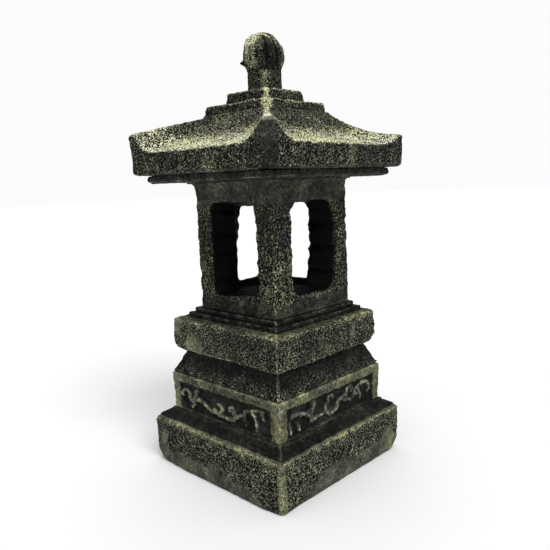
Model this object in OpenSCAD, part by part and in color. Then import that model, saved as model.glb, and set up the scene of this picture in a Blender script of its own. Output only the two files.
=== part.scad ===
// A square stone lantern, stacked from separate courses of stone.
// The origin is the centre of the underside; the flat sides face X and Y.

/* [Base] */
// Width of the base slab across its flats
base_w = 102.4; // [98:0.2:106]
// Height of the base slab
base_h = 26.9; // [22:0.1:30]
// Height of the sloping plinth step on the base slab
plinth_h = 3.9; // [3.6:0.1:5]

/* [Pedestal] */
// Width of the relief block across its top
relief_w = 85.8; // [80:0.2:88]
// Height of the relief block
relief_h = 21.4; // [19:0.1:26]
// Depth of the sunk panel on each side of the relief block
panel_depth = 1.8; // [0.8:0.1:3]
// Width of the corner posts beside each sunk panel
post_w = 6.2; // [4:0.1:9]
// Height of the band above each sunk panel
band_h = 4.9; // [3:0.1:7]
// Height of the bevelled waist block
waist_h = 13; // [11:0.1:16]
// Width of the waist block where it meets the platform
waist_neck_w = 73.6; // [70:0.2:77]

/* [Platform] */
// Width of the platform slab across its flats
platform_w = 83; // [80:0.2:86]
// Height of the platform slab
platform_h = 19; // [16:0.1:22]
// Width of the lower foot step
foot_lower_w = 70.4; // [67:0.2:72]
// Width of the upper foot step
foot_upper_w = 64.8; // [62:0.2:66]
// Height of each foot step
foot_h = 2.6; // [2.2:0.1:3.4]

/* [Fire box] */
// Width of the fire box across its flats
box_w = 59.2; // [57:0.2:60]
// Height of the fire box
box_h = 69.6; // [68:0.2:76]
// Radius of the round chamber that holds the light
chamber_r = 19.5; // [18.5:0.1:20]
// Thickness of stone under the chamber
chamber_floor = 9.4; // [7:0.1:12]
// Width of each window on the outside
window_w = 34; // [30:0.5:36]
// Width of each window where it meets the chamber
window_inner_w = 26; // [22:0.5:29]
// Height of each window
window_h = 48.6; // [42:0.2:50]

/* [Roof] */
// Width of the eave slab under the roof
eave_w = 95.6; // [86:0.2:98]
// Height of the eave slab
eave_h = 4.5; // [3.8:0.1:6]
// Width of the roof across its flats
roof_w = 108.4; // [102:0.2:114]
// Height of the eave at the middle of a side
eave_face_h = 13.3; // [11:0.1:15]
// Height of the raised corners above the roof's underside
corner_h = 21.6; // [19:0.1:24]
// Height of the roof stone up to the crown
roof_h = 30.6; // [29:0.1:34]
// Width of the flat that carries the crown
crown_seat_w = 49; // [48.5:0.1:54]
// Width of the lower crown step at its top
crown_lower_w = 46.6; // [42:0.2:46.6]
// Height of the lower crown step
crown_lower_h = 5.4; // [4:0.1:8]
// Width of the upper crown step at its top
crown_upper_w = 30.4; // [27:0.2:32]
// Height of the upper crown step
crown_upper_h = 6.6; // [5:0.1:9]

/* [Finial] */
// Radius of the neck under the bud
neck_r = 9.4; // [8.5:0.1:10]
// Height of the neck
neck_h = 10.6; // [8:0.1:14]
// Radius of the bud
bud_r = 11.8; // [11.2:0.1:13]
// Height of the bud
bud_h = 19.8; // [18:0.1:24]
// Number of lobes around the bud
bud_lobes = 8; // [6:1:10]

/* [Fits] */
// Gap on each side between a tenon and its socket
tenon_gap = 0.4; // [0.2:0.05:0.8]
// Depth that a tenon enters the stone below
tenon_depth = 6; // [4:0.1:7]
// Radius of the finial's spigot
spigot_r = 5; // [4:0.1:6]
// Radius of the steel dowel pins
pin_r = 1.5; // [1:0.1:1.6]
// Gap around a dowel pin
pin_gap = 0.1; // [0.05:0.05:0.2]

/* [Hidden] */
$fn = 48;

// Heights of the beds between the courses
plinth_z = base_h;
relief_z = plinth_z + plinth_h;
waist_z = relief_z + relief_h;
platform_z = waist_z + waist_h;
foot_lower_z = platform_z + platform_h;
foot_upper_z = foot_lower_z + foot_h;
box_z = foot_upper_z + foot_h;
eave_z = box_z + box_h;
roof_z = eave_z + eave_h;
crown_lower_z = roof_z + roof_h;
crown_upper_z = crown_lower_z + crown_lower_h;
neck_z = crown_upper_z + crown_upper_h;
bud_z = neck_z + neck_h;

// Square tenons, as half widths
pedestal_tenon = 15;
platform_tenon = 14;
box_tenon = 15;
roof_plug = 20.6;
plug_h = 4;
end_gap = 0.3;

// Colours of the weathered stone
stone = [0.27, 0.28, 0.22];
stone_dark = [0.17, 0.17, 0.15];
stone_light = [0.43, 0.44, 0.33];
pin_steel = [0.7, 0.7, 0.72];

// Points on an arc about (cx, cz), from angle a0 to angle a1
function arc(cx, cz, r, a0, a1, steps = 4) =
    [for (i = [0:steps]) let (a = a0 + (a1 - a0) * i / steps) [cx + r * cos(a), cz + r * sin(a)]];

// A square with round corners, as a flat shape
module round_square(half, r) {
    square([2 * half, 2 * (half - r)], center = true);
    square([2 * (half - r), 2 * half], center = true);
    for (x = [-1, 1], y = [-1, 1])
        translate([x * (half - r), y * (half - r)]) circle(r = r);
}

// A course of square plan: the profile lists [half width, z] from bed to top
module square_course(profile, corner_r) {
    reach = max([for (p = profile) p[0]]);
    low = profile[0][1];
    high = profile[len(profile) - 1][1];
    mirrored = [for (i = [len(profile) - 1:-1:0]) [-profile[i][0], profile[i][1]]];
    intersection() {
        intersection_for (turn = [0, 90])
            rotate([90, 0, turn])
                linear_extrude(height = 2 * reach + 2, center = true)
                    polygon(concat(profile, mirrored));
        translate([0, 0, low])
            linear_extrude(height = high - low)
                round_square(reach, corner_r);
    }
}

// The space inside the worn lower corners of a slab: a square turned by 45
// degrees that opens from the bed up to height worn above it. The corner
// between +X and -Y has stayed sharp.
module worn_corners(half, z0, z1, inset, worn) {
    reach = half * sqrt(2);
    rotate([0, 0, 45]) square_course([
        [reach - inset, z0], [reach - inset / 3, z0 + worn / 2],
        [reach, z0 + worn], [reach, z1]
    ], 1);
    translate([0, -half - 1, z0]) cube([half + 1, half + 1, z1 - z0]);
}

// A square prism from z0 to z1, used for tenons and their sockets
module square_prism(half, z0, z1) {
    translate([-half, -half, z0]) cube([2 * half, 2 * half, z1 - z0]);
}

// Two upright dowel pins on opposite corners of the plan
module pin_pair(offset, z0, z1, r) {
    for (s = [-1, 1])
        translate([s * offset, -s * offset, z0]) cylinder(r = r, h = z1 - z0);
}

// Four upright dowel pins, one towards each corner
module pin_square(offset, z0, z1, r) {
    for (x = [-1, 1], y = [-1, 1])
        translate([x * offset, y * offset, z0]) cylinder(r = r, h = z1 - z0);
}

// ---- Base ----

plinth_pin_at = 31;
plinth_pin_z = [plinth_z - 5, plinth_z + 2.6];

module base_slab() {
    half = base_w / 2;
    foot_r = 1.4;
    top_r = 1.8;
    color(stone) difference() {
        intersection() {
            square_course(concat(
                arc(half - foot_r, foot_r, foot_r, -90, 0),
                arc(half - top_r, base_h - top_r, top_r, 0, 90)
            ), 2.4);
            worn_corners(half, 0, base_h, 6, 8);
        }
        square_prism(pedestal_tenon + tenon_gap, base_h - tenon_depth - end_gap, base_h + 1);
        pin_pair(plinth_pin_at, plinth_pin_z[0], base_h + 1, pin_r + pin_gap);
    }
}

module plinth_step() {
    foot = base_w / 2 - 2.4;
    head = relief_w / 2 + 1.3;
    lip = 0.9;
    color(stone_dark) difference() {
        square_course([
            [foot, plinth_z], [foot, plinth_z + 0.4],
            [head, relief_z - lip], [head, relief_z]
        ], 2);
        square_prism(pedestal_tenon + tenon_gap, plinth_z - 1, relief_z + 1);
        pin_pair(plinth_pin_at, plinth_z - 1, plinth_pin_z[1] + end_gap, pin_r + pin_gap);
    }
}

module plinth_dowels() {
    color(pin_steel) pin_pair(plinth_pin_at, plinth_pin_z[0], plinth_pin_z[1], pin_r);
}

// ---- Pedestal ----

waist_pin_at = 28;
waist_pin_z = [waist_z - 5, waist_z + 5];
relief_taper = 0.6;

module relief_block() {
    half = relief_w / 2;
    arris = 0.8;
    sill = 0.7;
    panel_half = half - post_w;
    color(stone_light) difference() {
        union() {
            square_course(concat(
                [[half - relief_taper, relief_z]],
                arc(half - arris, waist_z - arris, arris, 0, 90)
            ), 1);
            square_prism(pedestal_tenon, base_h - tenon_depth, relief_z + 1);
        }
        for (turn = [0:90:270])
            rotate([0, 0, turn])
                translate([-panel_half, -half - 1, relief_z + sill])
                    cube([2 * panel_half, 1 + panel_depth, relief_h - sill - band_h]);
        pin_pair(waist_pin_at, waist_pin_z[0], waist_z + 1, pin_r + pin_gap);
    }
}

module waist_block() {
    foot = relief_w / 2 - 0.4;
    neck = waist_neck_w / 2;
    neck_h = 1.4;
    color(stone_dark) difference() {
        square_course([
            [foot, waist_z], [foot, waist_z + 0.6],
            [neck, platform_z - neck_h], [neck, platform_z]
        ], 1.5);
        square_prism(platform_tenon + tenon_gap, platform_z - tenon_depth - end_gap, platform_z + 1);
        pin_pair(waist_pin_at, waist_z - 1, waist_pin_z[1] + end_gap, pin_r + pin_gap);
    }
}

module waist_dowels() {
    color(pin_steel) pin_pair(waist_pin_at, waist_pin_z[0], waist_pin_z[1], pin_r);
}

// ---- Platform ----

foot_pin_at = 24;
foot_pin_z = [foot_lower_z - 6, foot_upper_z + 1.6];

module platform_slab() {
    half = platform_w / 2;
    bevel = 1.4;
    top_r = 1.8;
    color(stone) difference() {
        union() {
            intersection() {
                square_course(concat(
                    [[half - bevel, platform_z], [half, platform_z + bevel]],
                    arc(half - top_r, foot_lower_z - top_r, top_r, 0, 90)
                ), 1.4);
                worn_corners(half, platform_z, foot_lower_z, 4.3, 5);
            }
            square_prism(platform_tenon, platform_z - tenon_depth, platform_z + 1);
        }
        square_prism(box_tenon + tenon_gap, foot_lower_z - tenon_depth - end_gap, foot_lower_z + 1);
        pin_pair(foot_pin_at, foot_pin_z[0], foot_lower_z + 1, pin_r + pin_gap);
    }
}

// A thin step with softened arrises, open in the middle for the fire box tenon
module foot_step(half, z0, z1, pin_top) {
    r = 0.8;
    color(stone_dark) difference() {
        square_course(concat(
            [[half, z0]],
            arc(half - r, z1 - r, r, 0, 90, 3)
        ), 1.2);
        square_prism(box_tenon + tenon_gap, z0 - 1, z1 + 1);
        pin_pair(foot_pin_at, z0 - 1, pin_top, pin_r + pin_gap);
    }
}

module foot_step_lower() {
    foot_step(foot_lower_w / 2, foot_lower_z, foot_upper_z, foot_upper_z + 1);
}

module foot_step_upper() {
    foot_step(foot_upper_w / 2, foot_upper_z, box_z, foot_pin_z[1] + end_gap);
}

module foot_dowels() {
    color(pin_steel) pin_pair(foot_pin_at, foot_pin_z[0], foot_pin_z[1], pin_r);
}

// ---- Fire box ----

// One window, cut from outside the wall in to the chamber
module window(half) {
    corner_r = 5;
    outer = window_w / 2;
    // Distance from the centre at which the chamber is as wide as the inner opening
    mouth = sqrt(pow(chamber_r, 2) - pow(window_inner_w / 2, 2));
    depth = half - mouth + 0.1;
    narrow = window_inner_w / window_w;
    sill_z = box_z + chamber_floor;
    translate([0, -half - 0.01, sill_z + window_h / 2])
        rotate([-90, 0, 0])
            linear_extrude(height = depth, scale = [narrow, 0.94], slices = 1)
                union() {
                    square([2 * outer, window_h - 2 * corner_r], center = true);
                    square([2 * (outer - corner_r), window_h], center = true);
                    for (x = [-1, 1], y = [-1, 1])
                        translate([x * (outer - corner_r), y * (window_h / 2 - corner_r)])
                            circle(r = corner_r, $fn = 24);
                }
}

module fire_box() {
    half = box_w / 2;
    cove_r = 2.6;
    color(stone) difference() {
        union() {
            square_course(concat(
                [[half, box_z]],
                arc(half + cove_r, eave_z - cove_r, cove_r, 180, 90)
            ), 1.5);
            square_prism(box_tenon, foot_lower_z - tenon_depth, box_z + 1);
        }
        translate([0, 0, box_z + chamber_floor])
            cylinder(r = chamber_r, h = box_h);
        square_prism(roof_plug + tenon_gap, eave_z - plug_h - end_gap, eave_z + 1);
        for (turn = [0:90:270])
            rotate([0, 0, turn]) window(half);
    }
}

// ---- Roof ----

roof_pin_at = 30;
roof_pin_z = [eave_z + 1.4, roof_z + 6];
crown_pin_at = 9.4;
crown_pin_z = [crown_lower_z - 5, crown_upper_z + 4];
spigot_z = crown_lower_z - 6;
spigot_gap = 0.25;

module eave_slab() {
    half = eave_w / 2;
    nose_r = 2.4;
    color(stone_dark) difference() {
        union() {
            square_course(concat(
                arc(half - nose_r, eave_z + nose_r, nose_r, -90, 0),
                [[half, roof_z]]
            ), 2);
            square_prism(roof_plug, eave_z - plug_h, eave_z + 1);
        }
        pin_square(roof_pin_at, roof_pin_z[0], roof_z + 1, pin_r + pin_gap);
    }
}

// Steps from the middle of a side to its end, and from the crown to the eave
side_steps = 7;
slope_steps = 6;
roof_half = roof_w / 2;
seat_half = crown_seat_w / 2;

// Smooth rise from 0 at a to 1 at b
function ease(a, b, x) = let (t = max(0, min(1, (x - a) / (b - a)))) t * t * (3 - 2 * t);

// Height of the roof's top at half width m, where c runs from 0 at the middle
// of a side to 1 at its corner: a hollow slope with each corner swept up
function slope_z(m, c) =
    let (t = (roof_half - m) / (roof_half - seat_half))
    let (mid = eave_face_h + (roof_h - eave_face_h) * pow(t, 1.8))
    let (hip = corner_h + (roof_h - corner_h) * pow(t, 1.35))
    roof_z + mid + (hip - mid) * ease(0.72, 0.96, c);

// Width cut off each corner at half width m
function corner_leg(m) = 1.5 + 2.5 * (m - seat_half) / (roof_half - seat_half);

// One closed ring of points; z is taken from the slope, or is level when given
function ring(m, leg, z = undef) = [
    for (side = [0:3], i = [-side_steps:side_steps])
        let (c = sign(i) * pow(abs(i) / side_steps, 0.75))
        let (along = c * (m - leg))
        let (height = is_undef(z) ? slope_z(m, abs(c)) : z)
        [cos(90 * side) * along + sin(90 * side) * m, sin(90 * side) * along - cos(90 * side) * m, height]
];

function roof_rings() = concat(
    [ring(roof_half - 3, 5.2, roof_z)],
    [ring(roof_half - 0.9, 5.2, roof_z + 0.9)],
    [ring(roof_half, 5.2, roof_z + 3)],
    [for (k = [0:slope_steps]) let (m = roof_half - (roof_half - seat_half) * k / slope_steps)
        ring(m, corner_leg(m))]
);

module roof_body() {
    rings = roof_rings();
    count = len(rings[0]);
    last = len(rings) - 1;
    // Two extra points close the underside and the crown's seat as fans
    points = concat([for (r = rings) each r], [[0, 0, roof_z], [0, 0, crown_lower_z]]);
    below = len(points) - 2;
    above = len(points) - 1;
    sides = [for (k = [0:last - 1], i = [0:count - 1]) let (j = (i + 1) % count)
        each [
            [k * count + i, (k + 1) * count + i, (k + 1) * count + j],
            [k * count + i, (k + 1) * count + j, k * count + j]
        ]];
    underside = [for (i = [0:count - 1]) [below, i, (i + 1) % count]];
    seat = [for (i = [0:count - 1]) [above, last * count + (i + 1) % count, last * count + i]];
    polyhedron(points = points, faces = concat(sides, underside, seat));
}

module roof_stone() {
    color(stone_light) difference() {
        roof_body();
        translate([0, 0, spigot_z - end_gap]) cylinder(r = spigot_r + spigot_gap, h = roof_h);
        pin_square(roof_pin_at, roof_z - 1, roof_pin_z[1] + end_gap, pin_r + pin_gap);
        pin_pair(crown_pin_at, crown_pin_z[0], crown_lower_z + 1, pin_r + pin_gap);
    }
}

module roof_dowels() {
    color(pin_steel) pin_square(roof_pin_at, roof_pin_z[0], roof_pin_z[1], pin_r);
}

// A crown step with battered sides, bored for the finial's spigot
module crown_step(foot, head, z0, z1, pin_top) {
    r = 0.9;
    color(stone) difference() {
        square_course(concat(
            [[foot, z0]],
            arc(head - r, z1 - r, r, 0, 90, 3)
        ), 1.6);
        translate([0, 0, z0 - 1]) cylinder(r = spigot_r + spigot_gap, h = z1 - z0 + 2);
        pin_pair(crown_pin_at, z0 - 1, pin_top, pin_r + pin_gap);
    }
}

module crown_step_lower() {
    head = crown_lower_w / 2;
    crown_step(head + 0.9, head, crown_lower_z, crown_upper_z, crown_upper_z + 1);
}

module crown_step_upper() {
    head = crown_upper_w / 2;
    crown_step(head + 0.6, head, crown_upper_z, neck_z, crown_pin_z[1] + end_gap);
}

module crown_dowels() {
    color(pin_steel) pin_pair(crown_pin_at, crown_pin_z[0], crown_pin_z[1], pin_r);
}

// ---- Finial ----

// Outline of the bud from its neck, round its widest girth and over the dome
function bud_outline() =
    let (girth = bud_h * 0.38)
    concat(
        [for (a = [-90:22.5:0]) [neck_r + (bud_r - neck_r) * cos(a), bud_z + girth * (1 + sin(a))]],
        [for (a = [15:15:90]) [bud_r * pow(cos(a), 0.75), bud_z + girth + (bud_h - girth) * sin(a)]]
    );

module finial() {
    groove_r = 0.8;
    foot_flare = 0.3;
    color(stone_light) difference() {
        rotate_extrude() polygon(concat(
            [[0, spigot_z], [spigot_r, spigot_z], [spigot_r, neck_z], [neck_r + foot_flare, neck_z]],
            bud_outline()
        ));
        for (k = [0:bud_lobes - 1])
            rotate([0, 0, k * 360 / bud_lobes])
                translate([bud_r + 0.1, 0, bud_z + 1.5])
                    cylinder(r = groove_r, h = bud_h);
    }
}

base_slab();
plinth_step();
plinth_dowels();
relief_block();
waist_block();
waist_dowels();
platform_slab();
foot_step_lower();
foot_step_upper();
foot_dowels();
fire_box();
eave_slab();
roof_stone();
roof_dowels();
crown_step_lower();
crown_step_upper();
crown_dowels();
finial();
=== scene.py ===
"""A small weathered stone lantern, stacked course by course.

Each stone is a fine mesh, lofted from rings of points in millimetres and then eroded:
pits, chipped arrises and a slow waviness all push inward, so the lantern never leaves
the box of its CAD part. The pits in the mesh and the pits in the colour come from one
noise, measured at the uneroded point, so they always lie on each other.
"""
from math import ceil, cos, dist, hypot, pi, radians, sin, sqrt, tan
from types import SimpleNamespace

import bpy
import numpy as np
from mathutils import Matrix, Vector


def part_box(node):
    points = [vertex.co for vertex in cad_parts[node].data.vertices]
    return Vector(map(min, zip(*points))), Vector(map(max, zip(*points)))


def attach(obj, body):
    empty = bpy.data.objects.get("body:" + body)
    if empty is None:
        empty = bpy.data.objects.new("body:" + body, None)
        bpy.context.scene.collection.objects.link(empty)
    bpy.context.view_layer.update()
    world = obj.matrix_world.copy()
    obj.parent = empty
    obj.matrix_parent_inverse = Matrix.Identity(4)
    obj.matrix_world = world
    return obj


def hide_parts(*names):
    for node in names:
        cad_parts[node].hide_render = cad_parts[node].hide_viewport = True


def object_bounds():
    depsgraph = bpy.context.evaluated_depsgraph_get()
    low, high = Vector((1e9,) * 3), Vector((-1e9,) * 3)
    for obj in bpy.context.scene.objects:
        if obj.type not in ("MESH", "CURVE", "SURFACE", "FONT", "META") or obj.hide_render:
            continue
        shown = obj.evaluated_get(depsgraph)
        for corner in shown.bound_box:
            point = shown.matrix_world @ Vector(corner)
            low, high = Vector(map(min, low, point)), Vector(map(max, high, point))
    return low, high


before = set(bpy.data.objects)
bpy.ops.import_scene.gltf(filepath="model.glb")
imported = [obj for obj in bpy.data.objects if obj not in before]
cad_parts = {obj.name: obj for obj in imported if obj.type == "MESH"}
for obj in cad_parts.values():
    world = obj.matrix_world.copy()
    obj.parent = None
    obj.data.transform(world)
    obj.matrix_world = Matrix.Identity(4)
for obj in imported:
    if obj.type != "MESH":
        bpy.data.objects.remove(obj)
cad_low, cad_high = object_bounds()

MM = 0.001
STEP = 0.43      # spacing of the points on a stone's faces
COARSE = 4                              # one point in four is kept on the hidden faces
PIT_SIZE = 0.80                         # spacing of the pits
PIT_DEPTH = 0.34
FULL_BEND = 0.22                        # an arris stands this far out, or a groove this far in
GRIT_SIZE = 3.4                         # small lumps
WAVE_SIZE = 15.0                        # slow waviness of the faces
CHIP_SIZE = 5.0                         # bites along the arrises
PATCH_SIZE = 22.0                       # stains and bare places

# Half widths of the square tenons and of the plug under the roof, with their depths and gaps
PEDESTAL_TENON = 15.0
PLATFORM_TENON = 14.0
BOX_TENON = 15.0
TENON_DEPTH = 6
ROOF_PLUG = 20.6
PLUG_DEPTH = 4
TENON_GAP = 0.4
END_GAP = 0.3
EASED = 0.5                             # chamfer at a tenon's foot
BED_CORNER = 0.3                        # how soft the corners of hidden rings are
BED_MIDDLE = 6                          # half width of the innermost ring of a closed bed
SPIGOT_R = 5.0
BORE_R = 5.25


def size(node):
    """Half width, lowest z and highest z of a CAD node, in millimetres."""
    low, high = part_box(node)
    return high.x / MM, low.z / MM, high.z / MM


def smooth(a, b, x):
    """Smooth rise from 0 at a to 1 at b; a may be the greater."""
    t = np.clip((np.asarray(x, float) - a) / (b - a), 0, 1)
    return t * t * (3 - 2 * t)


def placed(name, data):
    """A new object in the scene."""
    ob = bpy.data.objects.new(name, data)
    bpy.context.scene.collection.objects.link(ob)
    return ob


# ---- Noise, shared by the meshes and the materials ----


def link(tree, socket, value):
    """Feeds a node input from a socket, or sets it to a plain value."""
    if isinstance(value, bpy.types.NodeSocket):
        tree.links.new(value, socket)
    else:
        socket.default_value = value


def add(tree, kind, inputs=None, **settings):
    """A new node with its settings, and with its inputs fed or set."""
    node = tree.nodes.new(kind)
    for name, value in settings.items():
        setattr(node, name, value)
    for name, value in (inputs or {}).items():
        link(tree, node.inputs[name], value)
    return node


def noise(tree, place, spacing, detail=0.0, rough=0.5, shift=0.0, flat=1.0):
    """Noise with lumps the given spacing apart, around 0.5; flat squeezes it along z."""
    inputs = {
        0: place,
        1: (1 / spacing, 1 / spacing, flat / spacing),
        2: (shift, shift * 0.7, shift * 1.3),
    }
    move = add(tree, "ShaderNodeVectorMath", inputs, operation="MULTIPLY_ADD")
    inputs = {"Scale": 1.0, "Detail": detail, "Roughness": rough, "Vector": move.outputs[0]}
    return add(tree, "ShaderNodeTexNoise", inputs).outputs[0]


def pit_noise(tree, place):
    return noise(tree, place, PIT_SIZE, detail=1.0, rough=0.45)


def sample(points):
    """The shared noises at the given points, as arrays under their names."""
    mesh = bpy.data.meshes.new("noise_points")
    mesh.vertices.add(len(points))
    mesh.vertices.foreach_set("co", points.astype(np.float32).ravel())
    ob = placed("noise_points", mesh)
    tree = bpy.data.node_groups.new("noise_points", "GeometryNodeTree")
    for way in ("INPUT", "OUTPUT"):
        tree.interface.new_socket("Geometry", in_out=way, socket_type="NodeSocketGeometry")
    flow = add(tree, "NodeGroupInput").outputs[0]
    place = add(tree, "GeometryNodeInputPosition").outputs[0]
    wanted = {
        "pit": pit_noise(tree, place),
        "grit": noise(tree, place, GRIT_SIZE, 1.0, shift=7.1),
        "wave": noise(tree, place, WAVE_SIZE, 1.0, shift=3.3),
        "chip": noise(tree, place, CHIP_SIZE, 2.0, shift=11.7),
        "patch": noise(tree, place, PATCH_SIZE, 1.0, shift=19.2),
    }
    for name, value in wanted.items():
        inputs = {"Name": name, "Value": value, "Geometry": flow}
        store = add(tree, "GeometryNodeStoreNamedAttribute", inputs, data_type="FLOAT", domain="POINT")
        flow = store.outputs["Geometry"]
    add(tree, "NodeGroupOutput", {0: flow})
    ob.modifiers.new("noise", "NODES").node_group = tree
    bpy.context.view_layer.update()
    made = ob.evaluated_get(bpy.context.evaluated_depsgraph_get()).data
    fields = {}
    for name in wanted:
        values = np.zeros(len(points), np.float32)
        made.attributes[name].data.foreach_get("value", values)
        fields[name] = values.astype(float)
    bpy.data.objects.remove(ob)
    bpy.data.meshes.remove(mesh)
    bpy.data.node_groups.remove(tree)
    return SimpleNamespace(**fields)


# ---- Rings and lofts ----


class Plan:
    """How many points a ring has: straight ones and corner ones on half of each side."""

    def __init__(self, half, corner, finer=1.0):
        step = STEP / finer
        corner_run = corner * 0.8 + 0.6
        self.corner = max(2, round(corner_run / step))
        straight = (half - corner) / step
        self.straight = max(4, round((straight + self.corner) / 2) * 2 - self.corner)
        self.side = 2 * (self.straight + self.corner)
        self.total = 4 * self.side

    def half_side(self, half, cut, soft):
        """Half a side of a square whose corner is cut at 45 degrees and then softened.

        Gives the distance along the side and the distance out from the centre."""
        tuck = soft * tan(pi / 8)
        flat = half - cut - tuck
        arc = soft * pi / 4
        rest = arc + max(cut * sqrt(0.5) - tuck, 0)
        run = np.concatenate([
            np.linspace(0, flat, self.straight + 1),
            flat + np.linspace(0, rest, self.corner + 1)[1:],
        ])
        turn = np.clip((run - flat) / soft, 0, pi / 4)
        beyond = np.maximum(run - flat - arc, 0) * sqrt(0.5)
        along = np.minimum(run, flat) + soft * np.sin(turn) + beyond
        out = half - soft * (1 - np.cos(turn)) - beyond
        return along, out

    def square(self, half, cut, soft, z):
        """A square ring, anticlockwise from its corner at (-half, -half).

        cut and soft may each be four values, one for each corner in that order."""
        cuts = cut if isinstance(cut, tuple) else (cut,) * 4
        softs = soft if isinstance(soft, tuple) else (soft,) * 4
        halves = [self.half_side(half, c, s) for c, s in zip(cuts, softs)]
        flat = []
        for side, (x, y) in enumerate([(0, -1), (1, 0), (0, 1), (-1, 0)]):
            (along, out), (along_next, out_next) = halves[side], halves[(side + 1) % 4]
            u = np.concatenate([-along[::-1], along_next[1:-1]])
            v = np.concatenate([out[::-1], out_next[1:-1]])
            flat.append(np.column_stack([-u * y + v * x, u * x + v * y]))
        flat = np.concatenate(flat)
        return np.column_stack([flat, np.full(len(flat), z)])

    def circle(self, radius, z):
        angle = np.arange(self.total) * 2 * pi / self.total - 0.75 * pi
        return np.column_stack([radius * np.cos(angle), radius * np.sin(angle), np.full(self.total, z)])


def round_cut(radius):
    """The cut that makes a softened corner a plain quarter circle."""
    return radius * (2 - sqrt(2))


def arc(centre, z, radius, start, end):
    """Points on an arc in the (half width, z) plane, in degrees."""
    steps = max(2, ceil(abs(radius * radians(end - start)) / STEP))
    angles = np.radians(np.linspace(start, end, steps + 1))
    return [(centre + radius * cos(a), z + radius * sin(a)) for a in angles]


def divided(outline):
    """The outline's points with more between them, so that none are far apart."""
    out = [outline[0]]
    for a, b in zip(outline, outline[1:]):
        a, b = np.array(a, float), np.array(b, float)
        steps = max(1, round(np.hypot(*(b - a)[:2]) / STEP))
        out += [tuple(a + (b - a) * k / steps) for k in range(1, steps + 1)]
    return out


def summed(steps):
    """The way run up to each step, from 0."""
    return np.concatenate([[0], np.cumsum(steps)])


class Loft:
    """A skin of rings, built from its first ring to its last."""

    def __init__(self, plan, total=0):
        self.plan = plan
        self.points, self.skin, self.rows, self.faces = [], [], [], []
        self.total = total

    def ring(self, ring, skin=0.0, stride=1):
        """Adds a ring. skin is 1 where weather has worked on the stone and 0 where it is hidden."""
        ring = ring[::stride]
        row = (self.total, stride)
        self.points.append(ring)
        self.skin.append(np.full(len(ring), skin))
        self.total += len(ring)
        if self.rows:
            self.join(self.rows[-1], row)
        self.rows.append(row)

    def join(self, low, high):
        (a, low_stride), (b, high_stride) = low, high
        self.faces += bridge((a, self.plan.total // low_stride), (b, self.plan.total // high_stride))

    def bed(self, z, halves):
        """Level square rings that nobody sees while the lantern is whole."""
        for half in halves:
            self.ring(self.plan.square(half, BED_CORNER, BED_CORNER, z), 0.0, COARSE)

    def cap(self):
        """Closes the first or the last ring with one flat face."""
        first, stride = self.rows[-1]
        ring = list(range(first, first + self.plan.total // stride))
        self.faces.append(ring if len(self.rows) > 1 else ring[::-1])

    def close(self):
        """Joins the last ring to the first, for a stone with a hole right through it."""
        self.join(self.rows[-1], self.rows[0])

    def tenon(self, foot, half, low, beyond, middle=BED_MIDDLE):
        """A square tenon from its foot up to the bed at low, which runs on to beyond."""
        self.bed(foot, [middle])
        self.cap()
        self.bed(foot, [half - EASED])
        self.bed(foot + EASED, [half])
        self.bed(low, [half, beyond])

    def socket(self, high, halves, tenon):
        """The top bed and the socket for a tenon, which closes the stone."""
        hole = tenon + TENON_GAP
        self.bed(high, halves + [hole])
        self.bed(high - TENON_DEPTH - END_GAP, [hole, BED_MIDDLE])
        self.cap()

    def bore(self, radius, z):
        """A hidden round ring, of a bore, a spigot or a floor."""
        self.ring(self.plan.circle(radius, z), 0, COARSE)

    def arrays(self):
        return np.concatenate(self.points), np.concatenate(self.skin), self.faces


def skin_rows(loft, outline, corner, cut=None, fade=0.8):
    """Adds the visible rows of a square course. The weather fades out at both beds."""
    rows = divided(outline)
    run = summed([dist(a, b) for a, b in zip(rows, rows[1:])])
    for (half, z), r in zip(rows, run):
        weight = float(smooth(0, fade, r) * smooth(0, fade, run[-1] - r))
        here = round_cut(corner) if cut is None else cut(z)
        loft.ring(loft.plan.square(half, here, corner, z), weight)


# ---- Turning a loft into a weathered stone ----


def spread(values, pairs, pull, total, rounds):
    """Averages values over neighbouring points a few times, closer ones counting more."""
    a, b = pairs[:, 0], pairs[:, 1]
    weight = np.bincount(a, pull, total) + np.bincount(b, pull, total)
    for _ in range(rounds):
        mixed = np.empty_like(values)
        for k in range(values.shape[1]):
            column = values[:, k]
            there = np.bincount(a, pull * column[b], total)
            back = np.bincount(b, pull * column[a], total)
            mixed[:, k] = (there + back) / weight
        values = 0.5 * values + 0.5 * mixed
    return values


def sharpness(mesh, points, normals):
    """How far each point stands above (+) or below (-) the surface around it, in millimetres."""
    pairs = np.zeros(len(mesh.edges) * 2, np.int32)
    mesh.edges.foreach_get("vertices", pairs)
    pairs = pairs.reshape(-1, 2)
    length = np.linalg.norm(points[pairs[:, 0]] - points[pairs[:, 1]], axis=1)
    pull = 1 / np.maximum(length, 0.1) ** 2
    rounds = 24
    around = spread(points, pairs, pull, len(points), rounds)
    return ((points - around) * normals).sum(axis=1)


def set_vector(mesh, name, values):
    attribute = mesh.attributes.new(name, "FLOAT_VECTOR", "POINT")
    attribute.data.foreach_set("vector", values.astype(np.float32).ravel())


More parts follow.
